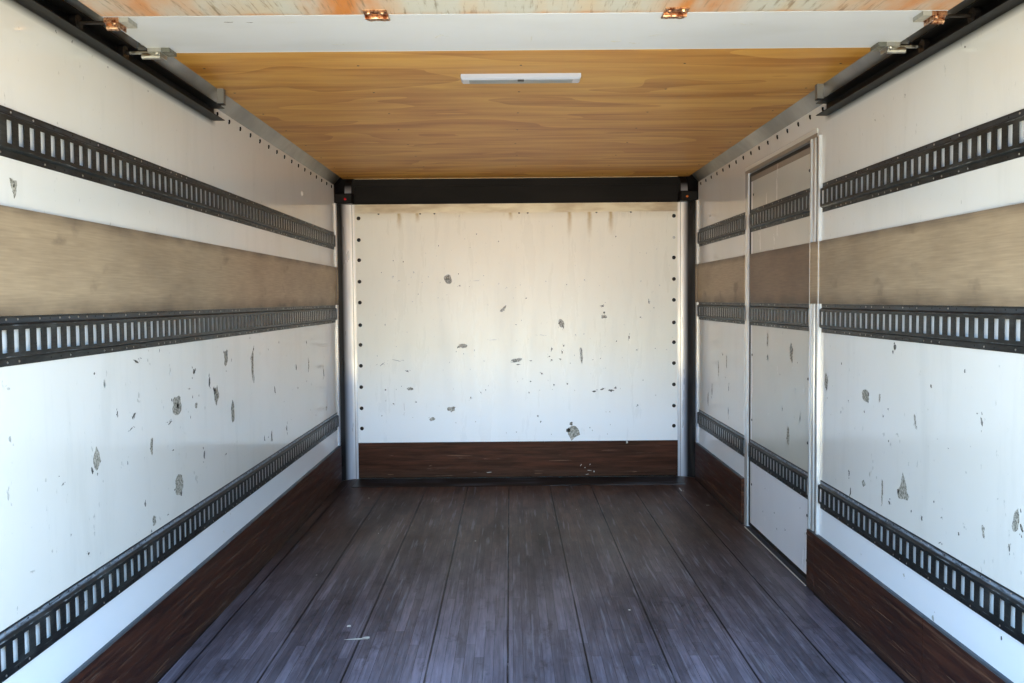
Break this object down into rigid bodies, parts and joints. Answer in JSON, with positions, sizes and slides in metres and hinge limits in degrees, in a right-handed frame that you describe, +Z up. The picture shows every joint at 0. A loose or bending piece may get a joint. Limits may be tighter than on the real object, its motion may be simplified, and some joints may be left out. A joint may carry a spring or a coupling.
{
  "type": "box truck cargo body",
  "caption": "Hollow box truck cargo body with slotted lashing rails, rub bands, hinged side door, stored roll-up rear door and boarded floor on longsills.",
  "frame": {"origin": "middle of the footprint on the plane the longsills stand on", "axes": "+Y to the front of the body, +X to the side with the side door, +Z up"},
  "size_m": [2.5908, 5.8, 2.433],
  "materials": {
    "longsill_steel": "black chassis paint",
    "crossmember_steel": "dark chassis paint",
    "rail_aluminium": "mill finish",
    "post_aluminium": "polished by wear",
    "rear_frame_steel": "white enamel",
    "wall_facing": "glossy glass-fibre facing",
    "front_facing": "glossy glass-fibre facing, scarred",
    "roof_skin": "white roof sheet",
    "ceiling_plywood": "bare plywood",
    "floor_hardwood": "worn laminated hardwood",
    "scuff_plywood": "dark red-brown faced plywood",
    "band_plywood": "rubbed plywood",
    "lashing_rail_paint": "charcoal paint",
    "dark_header": "black paint",
    "threshold_steel": "dark worn steel",
    "door_seal": "matt rubber",
    "hinge_steel": "zinc plated",
    "rollup_panel": "white painted plywood core panel",
    "rollup_hardware": "rusted plated steel",
    "track_paint": "dark plated channel",
    "lamp_housing": "white housing",
    "marker_lens": "amber lens",
    "rear_lamp_lens": "red lens"
  },
  "bodies": {
    "body": {"longsills": "longsill_steel", "crossmembers": "crossmember_steel", "front_sill": "rail_aluminium", "bottom_rails": "rail_aluminium", "top_rails": "rail_aluminium", "floor_boards": "floor_hardwood", "floor_front_plate": "threshold_steel", "rear_posts": "rear_frame_steel", "rear_header": "rear_frame_steel", "rear_sill": "rear_frame_steel", "rear_lamps": "rear_lamp_lens", "marker_lamps": "marker_lens", "side_wall_left": "wall_facing", "side_wall_right": "wall_facing", "front_wall": "front_facing", "front_wall_strip": "rail_aluminium", "front_header": "dark_header", "corner_caps": "dark_header", "corner_posts": "post_aluminium", "roof_panel": "roof_skin", "ceiling_board": "ceiling_plywood", "scuff_boards": "scuff_plywood", "rub_bands": "band_plywood", "lashing_rails_left": "lashing_rail_paint", "lashing_rails_right": "lashing_rail_paint", "side_door_jambs": "rail_aluminium", "side_door_head": "rail_aluminium", "side_door_sill": "rail_aluminium", "side_door_hinge_brackets": "hinge_steel", "side_door_keeper": "hinge_steel", "rollup_sections": "rollup_panel", "rollup_hinges": "rollup_hardware", "rollup_rollers": "rollup_hardware", "rollup_tracks": "track_paint", "rollup_counterbalance": "track_paint", "dome_light": "lamp_housing"},
    "side_door": {"side_door_leaf": "wall_facing", "side_door_band": "band_plywood", "side_door_rails": "lashing_rail_paint", "side_door_seal": "door_seal", "side_door_hinge_leaves": "hinge_steel", "side_door_lock": "hinge_steel"}
  },
  "joints": [
    {"name": "side_door_hinge", "type": "hinge", "parent": "body", "child": "side_door", "pos_m": [1.283, 1.428, 1.249], "axis": [0, 0, 1], "range_deg": [0, 170]}
  ]
}
